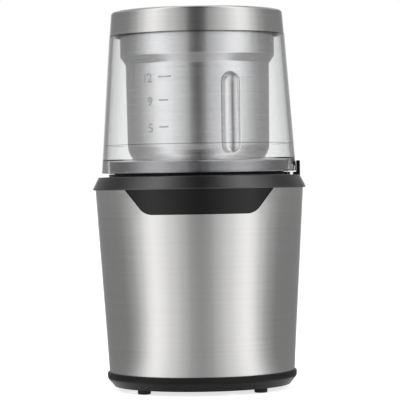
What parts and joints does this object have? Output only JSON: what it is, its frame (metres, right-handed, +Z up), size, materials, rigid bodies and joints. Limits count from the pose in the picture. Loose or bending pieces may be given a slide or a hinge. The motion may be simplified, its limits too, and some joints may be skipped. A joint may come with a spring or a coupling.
{
  "type": "electric spice grinder",
  "caption": "Countertop blade grinder: tapered steel motor base, lift-out steel cup with blade, and a clear steel-capped lid that is pressed down to run the motor.",
  "frame": {"origin": "on the motor's axis, at the underside of the rubber feet", "axes": "+Z up along the motor's axis; the front, with the black panel, faces -Y; the lid lock's post is on +X"},
  "size_m": [0.112, 0.112, 0.1988],
  "materials": {
    "brushed_steel_body": "horizontally brushed stainless steel",
    "brushed_steel_cap": "brushed stainless steel",
    "bowl_steel": "satin stainless steel",
    "foot_steel": "brushed stainless steel, a darker sheet",
    "blade_steel": "ground stainless steel",
    "screw_steel": "zinc-plated steel",
    "bearing_steel": "ground steel",
    "lamination_steel": "electrical steel laminations, varnished",
    "bracket_aluminium": "die-cast",
    "brass_parts": "turned brass",
    "commutator_copper": "copper segments",
    "enamelled_copper": "enamelled copper wire",
    "carbon": "carbon graphite block",
    "black_plastic_collar": "satin moulded black plastic",
    "black_plastic_base": "satin moulded black plastic",
    "black_plastic_foot": "moulded black plastic",
    "black_gloss_panel": "polished moulded black plastic",
    "black_inner_plastic": "moulded black plastic",
    "bracket_plastic": "glass-filled moulded plastic",
    "fan_plastic": "moulded natural nylon",
    "coupler_plastic": "moulded nylon",
    "switch_plastic": "moulded plastic with plated terminals",
    "rod_plastic": "moulded acetal",
    "retainer_plastic": "moulded plastic",
    "clear_plastic": "clear polished plastic",
    "foot_rubber": "black rubber",
    "grommet_rubber": "black rubber",
    "seal_silicone": "grey silicone rubber"
  },
  "bodies": {
    "base": {"steel_shell": "brushed_steel_body", "top_collar": "black_plastic_collar", "front_panel": "black_gloss_panel", "motor_housing": "black_inner_plastic", "base_ring": "black_plastic_base", "bottom_cover": "black_inner_plastic", "rubber_feet": "foot_rubber", "cover_screws": "screw_steel", "collar_screws": "screw_steel", "cord_grommet": "grommet_rubber", "stator_core": "lamination_steel", "field_coils": "enamelled_copper", "upper_bracket": "bracket_aluminium", "lower_bracket": "bracket_plastic", "upper_bearing": "bearing_steel", "lower_bearing": "bearing_steel", "brush_holders": "brass_parts", "carbon_brushes": "carbon", "brush_springs": "screw_steel", "motor_bolts": "screw_steel", "motor_nuts": "screw_steel", "motor_dampers": "grommet_rubber", "motor_screws": "screw_steel", "microswitch": "switch_plastic", "switch_screws": "screw_steel", "switch_spring": "screw_steel", "shaft_seal": "grommet_rubber"},
    "rotor": {"motor_shaft": "bearing_steel", "armature_core": "lamination_steel", "armature_windings": "enamelled_copper", "commutator": "commutator_copper", "cooling_fan": "fan_plastic", "drive_coupler": "coupler_plastic"},
    "bowl": {"grinding_bowl": "bowl_steel", "bowl_foot": "black_plastic_foot", "foot_cover": "foot_steel", "blade_bush": "brass_parts", "bush_gasket": "grommet_rubber", "bush_nut": "screw_steel"},
    "blade_unit": {"blade": "blade_steel", "blade_shaft": "bearing_steel", "blade_nut": "screw_steel", "driven_coupler": "coupler_plastic"},
    "lid_seal": {"rim_seal": "seal_silicone"},
    "lid": {"lid_shell": "clear_plastic", "lid_cap": "brushed_steel_cap", "seal_retainer": "retainer_plastic"},
    "switch_plunger": {"switch_rod": "rod_plastic"}
  },
  "joints": [
    {"name": "bowl_lift", "type": "slide", "parent": "base", "child": "bowl", "axis": [0, 0, 1], "range_m": [0, 0.075]},
    {"name": "lid_press", "type": "slide", "parent": "bowl", "child": "lid_seal", "axis": [0, 0, 1], "range_m": [-0.0018, 0], "stiffness_N_per_m": 1500, "springref_m": 0.003},
    {"name": "lid_lift", "type": "slide", "parent": "lid_seal", "child": "lid", "axis": [0, 0, 1], "range_m": [0, 0.095]},
    {"name": "switch_press", "type": "slide", "parent": "base", "child": "switch_plunger", "axis": [0, 0, 1], "range_m": [-0.0018, 0], "stiffness_N_per_m": 300, "springref_m": 0.003, "deforming": ["switch_spring"]},
    {"name": "motor_spin", "type": "hinge", "parent": "base", "child": "rotor", "pos_m": [0, 0, 0.06], "axis": [0, 0, 1], "continuous": true},
    {"name": "blade_spin", "type": "hinge", "parent": "bowl", "child": "blade_unit", "pos_m": [0, 0, 0.12], "axis": [0, 0, 1], "continuous": true}
  ],
  "couplings": [
    {"joint": "switch_press", "follows": "lid_press", "ratio": 1},
    {"joint": "blade_spin", "follows": "motor_spin", "ratio": 1}
  ]
}
